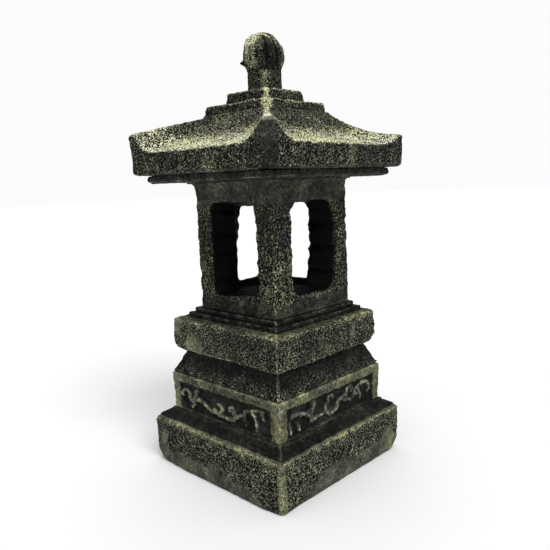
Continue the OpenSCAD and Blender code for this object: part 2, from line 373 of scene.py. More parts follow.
def stone(node, body, slot, made, look, pits=PIT_DEPTH, wave=0.5, chips=1.0):
    """Makes one weathered stone from its points, skin and faces, to stand for its CAD node.

    look gives, from what is known at the points, how pitted the stone is, how much pale
    colour its surface has caught, and how stained it is."""
    points, skin, faces = made
    mesh = bpy.data.meshes.new(node)
    mesh.from_pydata(points.tolist(), [], faces)
    normals = np.zeros(len(points) * 3, np.float32)
    mesh.vertices.foreach_get("normal", normals)
    normals = normals.reshape(-1, 3).astype(float)
    f = sample(points)
    f.x, f.y, f.z = points.T
    f.up = normals[:, 2]
    f.out = np.maximum(np.abs(f.x), np.abs(f.y))
    f.corner = corner_share(points)
    f.front = f.corner * ((f.x > 0) & (f.y < 0))
    bend = sharpness(mesh, points, normals) / FULL_BEND
    f.edge, f.dent = (np.clip(way * bend, 0, 1) * skin for way in (1, -1))
    pitted, pale, stain = look(f)
    pitted = pitted * skin
    hole = smooth(0.53, 0.43, f.pit) * pitted
    worn = f.edge * smooth(0.42, 0.66, f.chip) * 0.8 * chips
    rough = (1 - smooth(0.30, 0.70, f.grit)) * (0.12 + 0.2 * chips)
    slow = (1 - smooth(0.25, 0.75, f.wave)) * wave
    depth = skin * (hole * pits + worn + rough + slow)
    moved = (points - normals * depth[:, None]) * MM
    mesh.vertices.foreach_set("co", moved.astype(np.float32).ravel())
    mesh.polygons.foreach_set("use_smooth", np.ones(len(mesh.polygons), bool))
    set_vector(mesh, "rest", points)
    set_vector(mesh, "look", np.column_stack(np.broadcast_arrays(pitted, pale, stain)))
    mesh.materials.append(MATERIALS[slot])
    mesh.validate()
    mesh.update()
    ob = placed(node + "_stone", mesh)
    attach(ob, body)
    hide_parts(node)


# ---- Materials ----


def maths(tree, operation, a, b=0.0, c=0.0, clamp=False):
    node = add(tree, "ShaderNodeMath", {0: a, 1: b, 2: c}, operation=operation, use_clamp=clamp)
    return node.outputs[0]


def ranged(tree, value, low, high, to_low=0.0, to_high=1.0):
    inputs = {"Value": value, "From Min": low, "From Max": high, "To Min": to_low, "To Max": to_high}
    return add(tree, "ShaderNodeMapRange", inputs, interpolation_type="SMOOTHSTEP").outputs[0]


def tinted(tree, share, colour, tint):
    """The colour multiplied by a tint, as far as share says."""
    node = add(tree, "ShaderNodeMix", {"Factor": share}, data_type="RGBA", blend_type="MULTIPLY")
    colours = [s for s in node.inputs if s.type == "RGBA"]
    link(tree, colours[0], colour)
    link(tree, colours[1], (*tint, 1))
    return next(s for s in node.outputs if s.type == "RGBA")


def ramp(tree, value, stops):
    node = add(tree, "ShaderNodeValToRGB", {0: value})
    band = node.color_ramp
    while len(band.elements) < len(stops):
        band.elements.new(0.5)
    for element, (place, colour) in zip(band.elements, stops):
        element.position = place
        element.color = (*colour, 1)
    return node.outputs["Color"]


def bump(tree, height, strength, distance):
    inputs = {"Height": height, "Strength": strength, "Distance": distance * MM}
    return add(tree, "ShaderNodeBump", inputs).outputs[0]


def new_material(name, build):
    """A material whose Principled inputs build gives from its node tree."""
    material = bpy.data.materials.new(name)
    material.use_nodes = True
    tree = material.node_tree
    shader = tree.nodes["Principled BSDF"]
    for socket, value in build(tree).items():
        link(tree, shader.inputs[socket], value)
    return material


# From the black of the cast stone, through grey olive, to the pale dry colour on high spots
PALE_RAMP = [
    (0.00, (0.0020, 0.0020, 0.0019)),
    (0.22, (0.0085, 0.0086, 0.0078)),
    (0.42, (0.038, 0.039, 0.033)),
    (0.60, (0.112, 0.115, 0.082)),
    (0.80, (0.340, 0.345, 0.225)),
    (1.00, (0.760, 0.765, 0.560)),
]


def brushed_stone(tree, streak, polish):
    """Cast stone brushed with pale colour. streak lengthens the brush marks."""
    place = add(tree, "ShaderNodeAttribute", attribute_name="rest").outputs["Vector"]
    look = add(tree, "ShaderNodeAttribute", attribute_name="look").outputs["Vector"]
    pitted, pale, stain = add(tree, "ShaderNodeSeparateXYZ", {0: look}).outputs

    pit = pit_noise(tree, place)
    fine = noise(tree, place, 0.42, 1.0, shift=2.2)
    grain = noise(tree, place, 1.9, 2.0, shift=5.5)
    patch = noise(tree, place, 9.0, 3.0, 0.6, shift=8.8)
    brush = noise(tree, place, 6.0, 2.0, shift=4.4, flat=1 / (1 + 3 * streak))

    hole = maths(tree, "MULTIPLY", ranged(tree, pit, 0.535, 0.465), pitted)
    ridge = maths(tree, "MULTIPLY", maths(tree, "SUBTRACT", pit, 0.52), pitted)
    value = maths(tree, "MULTIPLY_ADD", ridge, 1.1, pale)
    for layer, share in ((fine, 0.50), (grain, 0.45), (patch, 0.5), (brush, 0.15)):
        value = maths(tree, "MULTIPLY_ADD", maths(tree, "SUBTRACT", layer, 0.5), share, value)
    value = maths(tree, "MULTIPLY_ADD", hole, -0.46, value)
    moss = maths(tree, "MULTIPLY", stain, ranged(tree, grain, 0.36, 0.54), clamp=True)
    rust = maths(tree, "MULTIPLY", stain, ranged(tree, patch, 0.58, 0.68, 0.0, 0.6), clamp=True)
    colour = tinted(tree, moss, ramp(tree, value, PALE_RAMP), (1.0, 1.0, 0.72))
    height = maths(tree, "MULTIPLY_ADD", fine, 0.35, maths(tree, "MULTIPLY", grain, 0.5))
    height = maths(tree, "MULTIPLY_ADD", hole, -0.8, height)
    return {
        "Base Color": tinted(tree, rust, colour, (1.05, 0.76, 0.56)),
        "Roughness": ranged(tree, value, 0.2, 0.7, polish, 0.92),
        "Specular IOR Level": 0.07,
        "Normal": bump(tree, height, 0.55, 0.35),
    }


def brushed_steel(tree):
    """Brushed steel for the dowel pins, with fine scratches round the pin."""
    place = add(tree, "ShaderNodeTexCoord").outputs["Object"]
    scratch = noise(tree, place, 0.8 * MM, 3.0, flat=12.0)
    return {
        "Base Color": ramp(tree, scratch, [(0.3, (0.36, 0.36, 0.38)), (0.7, (0.66, 0.66, 0.68))]),
        "Metallic": 1.0,
        "Roughness": ranged(tree, scratch, 0.3, 0.7, 0.28, 0.45),
        "Normal": bump(tree, scratch, 0.2, 0.05),
    }


MATERIALS = {"dowel_steel": new_material("dowel_steel", brushed_steel)}
# Length of the brush marks, and roughness where the stone is dark
BRUSHING = {
    "pitted_stone": (1.0, 0.62),
    "dark_stone": (1.0, 0.5),
    "carved_stone": (0.3, 0.62),
    "roof_stone": (1.0, 0.62),
}
for name, brushing in BRUSHING.items():
    MATERIALS[name] = new_material(name, lambda tree: brushed_stone(tree, *brushing))


# ---- What each stone looks like ----


def corner_share(points):
    """0 in the middle of a side, 1 at a corner of the square."""
    x, y = np.abs(points[:, 0]), np.abs(points[:, 1])
    return np.minimum(x, y) / np.maximum(np.maximum(x, y), 1e-6)


def front_arris(f, low, high, ragged):
    """1 along the corner between +X and -Y, with ragged borders."""
    return smooth(low, high, f.front + ragged * (f.chip - 0.5))


def top_fringe(below, f, low, high, middle):
    """1 down to a ragged line a little below a slab's top, where the pale colour caught."""
    return smooth(low, high, below - 9 * (f.chip - middle)) * smooth(0.3, 0.5, f.grit)


def spots(f, ragged, places):
    """1 inside the given (x, y, z, radius) patches, fading out round them."""
    points = np.column_stack([f.x, f.y, f.z]) + ragged * (f.chip - 0.5)[:, None]
    found = np.zeros(len(points))
    for x, y, z, radius in places:
        away = np.linalg.norm(points - (x, y, z), axis=1) / radius
        found = np.maximum(found, smooth(1.25, 0.7, away))
    return found


def top_arris(half, high, radius):
    return arc(half - radius, high - radius, radius, 0, 90)


def worn_cuts(corner, worn, above, tall):
    """Cuts of a slab's four corners at a height above its bed. The front one has stayed sharp."""
    sharp = round_cut(corner)
    cut = sharp + (worn - sharp) * max(0, 1 - above / tall) ** 1.5
    return cut, sharp, cut, cut


def base_slab():
    half, low, high = size("base_slab")
    foot_r, top_r, corner = 1.4, 1.8, 2.4
    worn_h, worn_cut = 8.0, 8.5

    def cut(z):
        left, front, right, back = worn_cuts(corner, worn_cut, z - low, worn_h)
        return left, front, 1.3 * right, back

    loft = Loft(Plan(half, corner))
    loft.bed(low, [12])
    loft.cap()
    loft.bed(low, [28, half - 10])
    loft.ring(loft.plan.square(half - foot_r - 2, worn_cuts(corner, worn_cut - 2, 0, worn_h), corner, low))
    outline = arc(half - foot_r, low + foot_r, foot_r, -90, 0) + top_arris(half, high, top_r)
    skin_rows(loft, outline + [(half - 4.4, high)], corner, cut)
    loft.socket(high, [half - 9, 28], PEDESTAL_TENON)
    # The foot of the -Y face swells, that of the +X face is hollow, and three corners droop
    for ring in loft.points:
        x, y, z = ring.T
        foot = smooth(high, low + 4, z)
        droop = smooth(0.90, 1.0, np.minimum(abs(x), abs(y)) / half) * smooth(low + 6, high, z)
        z -= 1.3 * droop * ~((x > 0) & (y < 0))
        swell = smooth(half, 0.75 * half, x) * smooth(-half, -0.35 * half, x)
        swell *= smooth(6 - half, 1.5 - half, y)
        hollow = smooth(half, 0.75 * half, abs(y)) * smooth(half - 6, half - 1.5, x)
        y -= 1.3 * swell * foot
        x -= 0.7 * hollow * foot

    def look(f):
        z = f.z - low
        side = 1 - smooth(0.5, 0.9, f.up)
        line = 10.5 - 8 * smooth(0.3, 0.85, f.front)
        line += 14 * (f.patch - 0.5) + 9 * (f.wave - 0.5) + 5 * (f.grit - 0.5)
        smear = spots(f, 9, [(half, half - 12, low + 9, 7), (-half + 8, -half, low + 14, 4)])
        pitted = smooth(-1.5, 1.5, z - line) * side * (1 - smear)
        fringe = top_fringe(high - f.z, f, 3.8, 1.4, 0.44)
        upright = front_arris(f, 0.905, 0.94, 0.06) * side
        worn = np.maximum(fringe * side, upright)
        pitted *= 1 - 0.75 * worn
        pale = 0.41 + 0.06 * pitted + 0.16 * worn + 0.10 * f.edge * smooth(2, 12, z)
        pale += 0.06 * (1 - side) + 0.10 * (f.patch - 0.5) + 0.08 * (1 - pitted) * side + 0.08 * smear
        return pitted, pale, 0.05 + 0.8 * worn + 0.4 * smear

    stone("base_slab", "base", "pitted_stone", loft.arrays(), look)


def plinth_step():
    half, low, high = size("plinth_step")
    head = size("relief_block")[0] + 1.3
    lip = 0.9
    hole = PEDESTAL_TENON + TENON_GAP
    loft = Loft(Plan(half, 2.0))
    loft.bed(low, [hole, 30, half - 5])
    loft.ring(loft.plan.square(half - 0.8, round_cut(2), 2, low))
    outline = [(half, low), (half, low + 0.4), (head, high - lip), (head, high), (head - 2, high)]
    skin_rows(loft, outline, 2.0)
    loft.bed(high, [head - 6, 28, hole])
    loft.close()

    def look(f):
        z = f.z - low
        line = smooth(high - low - lip - 0.3, high - low - 0.3, z)
        pale = 0.205 + 0.08 * line + 0.10 * f.edge
        pale += 0.22 * front_arris(f, 0.97, 0.99, 0.02)
        return 0.12 * smooth(0.5, 0.6, f.patch), pale, 0

    stone("plinth_step", "base", "dark_stone", loft.arrays(), look, wave=0.25)


def curl(u, v, radius, start, end, shrink=1.0):
    """Part of a circle or, with shrink, of a spiral; angles in degrees."""
    angles = np.radians(np.linspace(start, end, 24))
    r = radius * np.linspace(1, shrink, 24)
    return np.column_stack([u + r * np.cos(angles), v + r * np.sin(angles)])


def wave_line(u0, v0, u1, v1, swing, turns):
    """A straight run that swings from side to side."""
    t = np.linspace(0, 1, 32)
    across = swing * np.sin(t * turns * 2 * pi)
    length = hypot(u1 - u0, v1 - v0)
    du, dv = (u1 - u0) / length, (v1 - v0) / length
    return np.column_stack([u0 + t * (u1 - u0) - dv * across, v0 + t * (v1 - v0) + du * across])


# Scrollwork in the sunk panels: strokes as lists of points, in millimetres from the
# middle of the panel's foot, each with its half width at the start and at the end.
# A hook, a forked leaf, a running stem, a curl and an arch
CLOUD_SCROLL = [
    (curl(-27.5, 8.5, 2.9, 200, -40), 0.9, 1.2),
    (wave_line(-25.5, 7.0, -21.5, 4.2, 0.4, 0.5), 1.2, 1.0),
    (wave_line(-23.0, 2.2, -20.0, 9.0, 0.5, 0.5), 0.9, 1.5),
    (wave_line(-20.0, 8.6, -18.6, 13.4, 0.3, 0.5), 1.7, 1.3),
    (wave_line(-19.5, 7.4, -5.5, 4.0, 1.0, 1.0), 1.4, 1.3),
    (curl(-3.2, 7.2, 3.4, 215, 480, 0.45), 1.3, 0.8),
    (wave_line(-5.5, 4.2, 7.0, 3.4, -1.0, 0.5), 1.3, 1.4),
    (curl(6.0, 8.2, 2.1, -60, 200, 0.6), 1.2, 1.0),
    (wave_line(7.0, 3.4, 14.0, 7.6, 0.7, 0.5), 1.2, 1.2),
    (curl(17.8, 7.0, 4.0, 165, -20), 1.3, 1.1),
    (wave_line(21.6, 5.8, 21.4, 1.4, 0.5, 0.5), 1.1, 0.8),
    (wave_line(13.9, 7.4, 15.0, 2.6, 0.4, 0.5), 1.0, 0.7),
    (wave_line(18.6, 11.0, 26.5, 12.6, 0.8, 0.5), 1.0, 1.2),
    (wave_line(26.2, 12.6, 27.2, 8.6, -0.5, 0.5), 1.2, 0.7),
]
# An arch on two legs, an upright with a foot, a deep hook and a beaded stem
VINE_SCROLL = [
    (curl(-26.0, 6.8, 4.4, 190, 50), 0.9, 1.3),
    (wave_line(-30.2, 6.2, -29.2, 2.0, 0.4, 0.5), 0.9, 0.7),
    (wave_line(-25.4, 6.4, -23.6, 1.8, 0.5, 0.5), 1.0, 0.7),
    (wave_line(-23.2, 10.2, -15.4, 5.4, 0.8, 0.5), 1.2, 1.0),
    (wave_line(-14.4, 13.6, -14.8, 5.0, 0.5, 1.0), 1.7, 1.1),
    (wave_line(-17.6, 9.6, -14.6, 10.4, 0.2, 0.5), 0.9, 1.2),
    (wave_line(-15.0, 4.0, -7.2, 4.4, 0.4, 0.5), 1.4, 0.8),
    (curl(-1.0, 7.4, 4.4, 125, 350, 1.05), 1.0, 1.4),
    (curl(-1.6, 10.6, 2.3, 190, 20, 0.9), 1.0, 1.2),
    (wave_line(3.4, 6.4, 7.4, 9.4, 0.5, 0.5), 1.3, 1.0),
    (curl(9.2, 8.6, 1.9, 150, 470, 0.6), 1.0, 0.8),
    (wave_line(9.6, 6.6, 16.5, 7.2, -0.8, 0.5), 1.0, 1.1),
    (curl(13.0, 11.6, 2.2, 200, -60, 0.8), 0.9, 1.1),
    (curl(18.6, 9.2, 2.0, 170, 520, 0.7), 1.1, 0.8),
    (wave_line(20.2, 8.6, 21.4, 3.4, 0.5, 0.5), 1.1, 0.7),
    (wave_line(19.8, 11.6, 27.6, 11.2, 1.0, 0.5), 1.0, 1.3),
    (curl(26.2, 8.0, 2.8, 60, -60), 1.0, 0.7),
]


def stroke_height(u, v, strokes):
    """Height of the scrollwork, from 0 on the panel's ground to 1 on the crest of a stroke."""
    height = np.zeros(len(u))
    for path, start, end in strokes:
        widths = np.linspace(start, end, len(path))
        for a, b, wide in zip(path, path[1:], widths):
            run = b - a
            t = np.clip(((u - a[0]) * run[0] + (v - a[1]) * run[1]) / (run @ run), 0, 1)
            away = np.hypot(u - a[0] - t * run[0], v - a[1] - t * run[1])
            height = np.maximum(height, 1 - (away / (wide + 0.55)) ** 2)
    return np.sqrt(np.clip(height, 0, 1))


def relief_block():
    half, _, high = size("relief_block")
    low = size("plinth_step")[2]
    taper, arris, corner = 0.6, 0.8, 1.0
    panel_half, panel_low, panel_high, panel_depth = half - 6.2, 0.7, high - low - 4.9, 1.8
    drawn_half, drawn_h = 32, 15.6
    loft = Loft(Plan(half, corner))
    loft.tenon(size("base_slab")[2] - TENON_DEPTH, PEDESTAL_TENON, low, half - 8)
    outline = [(half - taper - 2, low), (half - taper, low)] + top_arris(half, high, arris)
    skin_rows(loft, outline + [(half - 3, high)], corner)
    loft.bed(high, [half - 8, 10])
    loft.cap()

    points = np.concatenate(loft.points)
    carved = np.zeros(len(points))
    raised = np.zeros(len(points))
    designs = (CLOUD_SCROLL, VINE_SCROLL)
    for side in range(4):
        turn = side * pi / 2
        along = points[:, 0] * cos(turn) + points[:, 1] * sin(turn)
        out = points[:, 0] * sin(turn) - points[:, 1] * cos(turn)
        v = points[:, 2] - low
        here = (out > half - 1.2) & (np.abs(along) < panel_half) & (v > panel_low) & (v < panel_high)
        u, v = along[here], v[here]
        ragged = 0.25 * (1 + np.sin(u * 1.3 + 2 * side)) + 0.2 * (1 + np.sin(u * 3.7 + v))
        inside = smooth(0, 0.7, panel_half - np.abs(u) - ragged)
        inside *= smooth(0, 0.6, v - panel_low) * smooth(0, 0.7, panel_high - v - ragged)
        wobble = 0.5 * np.sin(u * 1.9 + v * 0.8) + 0.4 * np.sin(v * 2.3 - u * 0.7)
        across = (u + 0.3 * wobble) * drawn_half / panel_half
        up = (v + 0.25 * wobble - panel_low) * drawn_h / (panel_high - panel_low)
        lumps = stroke_height(across, up, designs[side % 2]) * (0.88 + 0.12 * wobble)
        carved[here] = inside * (1 - 0.92 * lumps)
        raised[here] = lumps * inside
        outward = np.array([sin(turn), -cos(turn), 0.0])
        points[here] -= outward * (carved[here] * panel_depth)[:, None]
    splits = np.cumsum([len(p) for p in loft.points])[:-1]
    loft.points = np.split(points, splits)

    def look(f):
        z = f.z - low
        frame_face = 1 - smooth(0.02, 0.3, np.maximum(carved, raised))
        corner = smooth(0.80, 0.9, f.corner)
        band = smooth(panel_high - 0.6, panel_high + 0.4, z)
        pitted = frame_face * 0.3 * smooth(0.48, 0.6, f.chip)
        fading = smooth(-10, 30, f.x) * (f.y < -half + 4)
        fading *= 1 - smooth(0.88, 0.92, f.front)
        crest = smooth(0.32, 0.85, raised) * (0.75 + 0.35 * smooth(0.35, 0.6, f.chip))
        pale = 0.15 + frame_face * (0.21 + 0.17 * np.maximum(band * 0.9, corner) * (1 - 0.55 * fading))
        pale += crest * (0.24 + 0.16 * smooth(0.35, 0.65, f.grit))
        pale += 0.16 * f.edge * (raised + frame_face) * smooth(0.35, 0.6, f.chip)
        pale += 0.10 * smooth(0.5, 0.62, f.patch) + 0.05 * fading
        return pitted, pale, 0.6 * frame_face

    stone("relief_block", "pedestal", "carved_stone", loft.arrays(), look, wave=0.2, pits=0.3, chips=0.6)


def waist_block():
    half, low, high = size("waist_block")
    neck, neck_h = 36.8, 1.4
    loft = Loft(Plan(half, 1.5))
    loft.bed(low, [10])
    loft.cap()
    loft.bed(low, [half - 6])
    outline = [(half - 1.5, low), (half, low), (half, low + 0.6)]
    outline += [(neck, high - neck_h), (neck, high), (neck - 1.5, high)]
    skin_rows(loft, outline, 1.5)
    loft.socket(high, [neck - 6], PLATFORM_TENON)

    def look(f):
        z = f.z - low
        low_part = 1 - smooth(2, 9, z + 9 * (f.patch - 0.5))
        pitted = 0.35 + 0.5 * low_part
        pale = 0.24 + 0.16 * low_part + 0.22 * front_arris(f, 0.955, 0.985, 0.03)
        pale += 0.22 * f.edge * smooth(0.4, 0.6, f.chip)
        return pitted, pale, 0.3 * low_part

    stone("waist_block", "pedestal", "dark_stone", loft.arrays(), look)


def platform_slab():
    half, _, high = size("platform_slab")
    low = size("waist_block")[2]
    bevel, top_r, corner = 1.4, 1.8, 1.4
    worn_h, worn_cut = 5.0, 6.1

    def cut(z):
        return worn_cuts(corner, worn_cut, z - low, worn_h)

    loft = Loft(Plan(half, corner))
    loft.tenon(low - TENON_DEPTH, PLATFORM_TENON, low, half - 12)
    foot_half = size("foot_step_lower")[0]
    outline = [(half - 6, low), (half - bevel, low), (half, low + bevel)]
    outline += top_arris(half, high, top_r) + [(foot_half - 2, high)]
    skin_rows(loft, outline, corner, cut)
    loft.socket(high, [foot_half - 8], BOX_TENON)

    def look(f):
        top = smooth(0.6, 0.95, f.up)
        bare = spots(f, 9, [
            (-half + 18, -half, low + 3, 8), (half, half - 22, low + 10, 3), (-half, -half, high - 2, 9)])
        back_right = 0.75 * smooth(0, 20, f.y) * (f.x > half - 4)
        near = smooth(0.35, 0.85, np.maximum(f.front, back_right))
        fringe = top_fringe(high - f.z, f, 4.4, 1.6, 0.47) * (0.45 + 0.55 * near)
        upright = front_arris(f, 0.965, 0.985, 0.03)
        pitted = (1 - bare) * (1 - 0.6 * top) * (1 - 0.6 * np.maximum(fringe, upright))
        pale = 0.39 + 0.06 * pitted + 0.20 * fringe + 0.14 * upright + 0.16 * bare
        pale += 0.12 * f.edge * (1 - 0.5 * top) + 0.10 * (f.patch - 0.5)
        return pitted, pale, 0.05 + 0.8 * np.maximum(fringe, 0.4 * bare)

    stone("platform_slab", "platform", "pitted_stone", loft.arrays(), look)


def shifted(loft, beyond, by):
    """Moves the rings outside a half width sideways: the courses don't sit quite true."""
    for ring in loft.points:
        if np.abs(ring[:, :2]).max() > beyond:
            ring[:, :2] += by


def foot_step(node):
    half, low, high = size(node)
    r = 0.8
    hole = BOX_TENON + TENON_GAP
    loft = Loft(Plan(half, 1.2))
    loft.bed(low, [hole, half - 5])
    outline = [(half - 1, low), (half, low)] + top_arris(half, high, r)
    skin_rows(loft, outline + [(half - 4, high)], 1.2)
    loft.bed(high, [half - 7, hole])
    loft.close()
    shifted(loft, half - 5, 0.45)

    def look(f):
        side_edge = smooth(0.6, 0.95, f.edge)
        pale = 0.20 + 0.26 * side_edge * smooth(0.46, 0.56, f.chip)
        pale += 0.30 * smooth(0.975, 0.99, f.front) * smooth(0.3, 0.5, f.up + 0.5)
        return 0.15 * smooth(0.5, 0.6, f.patch), pale, 0

    stone(node, "platform", "dark_stone", loft.arrays(), look, wave=0.12, pits=0.2, chips=0.5)


def eave_slab():
    half, _, high = size("eave_slab")
    low = size("fire_box")[2]
    nose = 2.4
    loft = Loft(Plan(half, 2.0))
    loft.tenon(low - PLUG_DEPTH, ROOF_PLUG, low, 28, middle=8)
    outline = [(30.2, low)] + arc(half - nose, low + nose, nose, -90, 0)
    skin_rows(loft, outline + [(half, high), (half - 2, high)], 2.0)
    loft.bed(high, [half - 8, 10])
    loft.cap()

    def look(f):
        z = f.z - low
        outside = smooth(half - 4, half - 1, f.out)
        nose_line = smooth(0.1, 0.5, z) * smooth(1.5, 0.8, z) * outside
        pale = 0.25 + 0.28 * nose_line * smooth(0.38, 0.58, f.chip) + 0.08 * smooth(0.5, 0.65, f.patch)
        pale += 0.24 * smooth(0.6, 0.2, high - f.z) * smooth(0.46, 0.6, f.chip) * outside
        return 0.25 * smooth(0.48, 0.6, f.patch), pale, 0

    stone("eave_slab", "roof", "dark_stone", loft.arrays(), look, wave=0.3, pits=0.3)


# ---- Roof ----

SEAT_HALF = 24.5
EAVE_FACE_H = 13.3
# The corners, from (-X, -Y) anticlockwise: height over the bed, hollowness of the hip
# behind it, and how far the fascia is cut and softened there at its foot and at its lip
CORNER_H = (23.0, 22.4, 18.2, 20.6)
HIP_HOLLOW = (1.1, 1.35, 2.2, 1.7)
FOOT_CUT, FOOT_SOFT = (3.4, 6.2, 3.0, 4.0), (3.2, 9.5, 3.2, 4.0)
LIP_CUT, LIP_SOFT = (1.2, 3.7, 3.2, 2.2), (1.2, 1.4, 1.4, 1.6)


def between(share, at_0, at_1):
    """Four corner values, mixed."""
    return tuple(a + (b - a) * share for a, b in zip(at_0, at_1))


def slope_height(half, rise, ring, m, c):
    """Height of the roof's top above its bed, at half width m and share c of the way to a corner."""
    x, y = ring[:, 0] > 0, ring[:, 1] > 0
    which = np.where(y, np.where(x, 2, 3), np.where(x, 1, 0))
    corner_h = np.array(CORNER_H)[which]
    hollow = np.array(HIP_HOLLOW)[which]
    t = (half - m) / (half - SEAT_HALF)
    mid = EAVE_FACE_H + (rise - EAVE_FACE_H) * t ** 1.9
    hip = corner_h + (rise - corner_h) * t ** hollow
    return mid + (hip - mid) * (0.35 * smooth(0.60, 1.0, c) + 0.65 * smooth(0.78, 0.985, c))


def roof_stone():
    half, low, high = size("roof_stone")
    rise = high - low
    plan = Plan(half, 6.0)
    loft = Loft(plan)
    loft.bed(low, [10])
    loft.cap()
    loft.bed(low, [30, size("eave_slab")[0] - 4])
    # Underside, fascia and its soft upper lip; the front corner is a prow that swells downward
    under = [(size("eave_slab")[0] - 1, low), (half - 2.2, low), (half - 0.6, low + 0.6), (half, low + 2.2)]
    for k, (m, z) in enumerate(divided(under)):
        loft.ring(plan.square(m, FOOT_CUT, FOOT_SOFT, z), float(smooth(0, 4, k)))
    lip = 2.3
    rows = ceil((EAVE_FACE_H - 3) / STEP)
    for k in range(1, rows + 1):
        t = k / rows
        ring = plan.square(half, between(t ** 1.4, FOOT_CUT, LIP_CUT), between(t, FOOT_SOFT, LIP_SOFT), 0)
        c = corner_share(ring)
        top = slope_height(half, rise, ring, half, np.minimum(c * half / (half - 2.5), 1)) - lip
        ring[:, 2] = low + 3 + (top - 3) * t
        loft.ring(ring, 1.0)
    turns = max(2, ceil(lip * 1.2 / STEP))
    slope_rows = ceil(hypot(half - SEAT_HALF, rise - EAVE_FACE_H) / STEP)
    reach = half - lip - SEAT_HALF
    steps = [(half - lip * (1 - cos(a)), lip * (1 - sin(a)))
             for a in np.radians(np.linspace(0, 80, turns + 1)[1:])]
    steps += [(half - lip - reach * k / slope_rows, 0.0) for k in range(1, slope_rows + 1)]
    for m, drop in steps:
        t = (half - m) / (half - SEAT_HALF)
        ring = plan.square(m, between(t, LIP_CUT, (1.2,) * 4), between(t, LIP_SOFT, (1.0,) * 4), 0)
        c = np.minimum(corner_share(ring) * m / (m - 2.5 * (1 - t)), 1)
        ring[:, 2] = low + slope_height(half, rise, ring, m, c) - drop
        loft.ring(ring, float(smooth(1.0, 0.97, t)), 1 if t < 0.5 else 2)
    loft.bed(high, [16])
    loft.bore(BORE_R, high)
    loft.bore(BORE_R, high - TENON_DEPTH - END_GAP)
    loft.cap()

    def look(f):
        c = f.corner
        up = smooth(0.15, 0.75, f.up + 0.5 * (f.chip - 0.5))
        t = (half - f.out) / (half - SEAT_HALF)
        bowl = smooth(0.80, 0.40, t + 0.3 * (f.wave - 0.5)) * (1 - smooth(0.86, 0.95, c) * 0.6)
        rim = smooth(0.12, 0.0, t)
        ends = smooth(30, 44, np.abs(f.x + f.y) / 2) * smooth(0.7, 0.9, c)
        left = smooth(2, -6, f.x + f.y)
        prow = (1 - up) * smooth(0.87, 0.94, f.front + 0.03 * left + 0.10 * (f.chip - 0.5))
        hip = smooth(0.91, 0.97, c) * up
        front_hip = front_arris(f, 0.87, 0.94, 0.06) * smooth(0.1, 0.4, f.up)
        pitted = 1 - 0.85 * prow - 0.2 * rim * up - 0.4 * front_hip
        top = 0.50 + 0.03 * left + 0.36 * bowl + 0.05 * rim + 0.04 * hip + 0.12 * ends
        top += 0.30 * front_hip * smooth(0.15, 0.4, t) + 0.20 * (f.wave + f.patch - 1)
        olive = spots(f, 8, [(13, -half, low + 3.5, 7), (half, 4, low + 3, 4), (half, 6, low + 9, 4)])
        tall = smooth(low + 6, low + 19, f.z)
        face = 0.42 + (0.13 * tall - 0.19) * prow + 0.15 * olive
        pale = face + (top - face) * up + 0.12 * f.edge * (0.3 + 0.7 * up)
        stain = 0.05 + 0.5 * olive + 0.6 * up * smooth(0.40, 0.6, f.patch)
        return pitted * (1 - 0.5 * olive), pale, stain

    stone("roof_stone", "roof", "roof_stone", loft.arrays(), look)


def crown_step(node, foot, aside):
    half, low, high = size(node)
    head = half - foot
    r = 0.9
    loft = Loft(Plan(half, 1.6))
    loft.bore(BORE_R, low)
    loft.bed(low, [half - 3])
    outline = [(half - 0.8, low), (half, low)] + top_arris(head, high, r)
    skin_rows(loft, outline + [(head - 3.5, high)], 1.6)
    loft.bed(high, [head - 5])
    loft.bore(BORE_R, high)
    loft.close()
    shifted(loft, 9, aside)

    def look(f):
        z = f.z - low
        top_edge = f.edge * smooth(0.5, 0.8, z / (high - low))
        stripe = front_arris(f, 0.72, 0.92, 0.16)
        # Painted light: the half on the +X, +Y side, towards the key light, is made a little paler
        right = smooth(0, 3, f.x + f.y)
        pale = 0.39 + 0.05 * right + 0.36 * top_edge * (1 - 0.5 * stripe) + 0.46 * stripe
        return 0.9 - 0.5 * stripe, pale, 0.15 + 0.6 * stripe

    stone(node, "roof", "pitted_stone", loft.arrays(), look, wave=0.3)


# ---- Fire box ----

CHAMBER_R = 19.5
CHAMBER_FLOOR = 9.4
WINDOW_HALF = 17.0
WINDOW_INNER_HALF = 13.0
WINDOW_H = 48.6
WINDOW_NARROWING = 0.94
# For the windows facing -Y, +X, +Y and -X: how far each jamb stands in from the CAD window,
# the first one being that nearer the corner before it anticlockwise, and both at the top;
# how far each jamb's inner edge stands in at the top; how high the sill is; and the corner radius
WINDOW_INSETS = [
    (0.3, 0.0, 0.4, 0.0, 0.0, 0.0, 4.2),
    (2.0, -1.6, 0.4, 0.0, 0.0, 0.0, 5.6),
    (0.4, 0.6, 0.3, 0.0, 0.0, 1.7, 4.6),
    (0.2, 0.8, 0.5, 0.0, 6.5, 2.2, 5.4),
]


def loop_rectangle(half, low, high, radius, across, up):
    """A rectangle with round corners as a loop of points, anticlockwise from its lower left.

    across and up are the number of steps on the level and on the upright sides; a corner
    arc is shared between the two sides that it joins."""
    def edge_run(length, steps):
        flat = length - 2 * radius
        bend = radius * pi / 4
        run = np.linspace(-bend, flat + bend, steps + 1)[:-1]
        straight = np.clip(run, 0, flat)
        turn = (run - straight) / radius
        along = straight + radius * np.sin(turn) + radius
        inward = radius * (1 - np.cos(turn))
        return along, inward
    wide, tall = 2 * half, high - low
    a, i = edge_run(wide, across)
    b, j = edge_run(tall, up)
    return np.concatenate([
        np.column_stack([-half + a, low + i]),
        np.column_stack([half - j, low + b]),
        np.column_stack([half - a, high - i]),
        np.column_stack([-half + j, high - b]),
    ])


def on_chamber(turned, z):
    """Points on the chamber's wall, at turns from -Y towards +X."""
    return np.column_stack([CHAMBER_R * np.sin(turned), -CHAMBER_R * np.cos(turned), z])


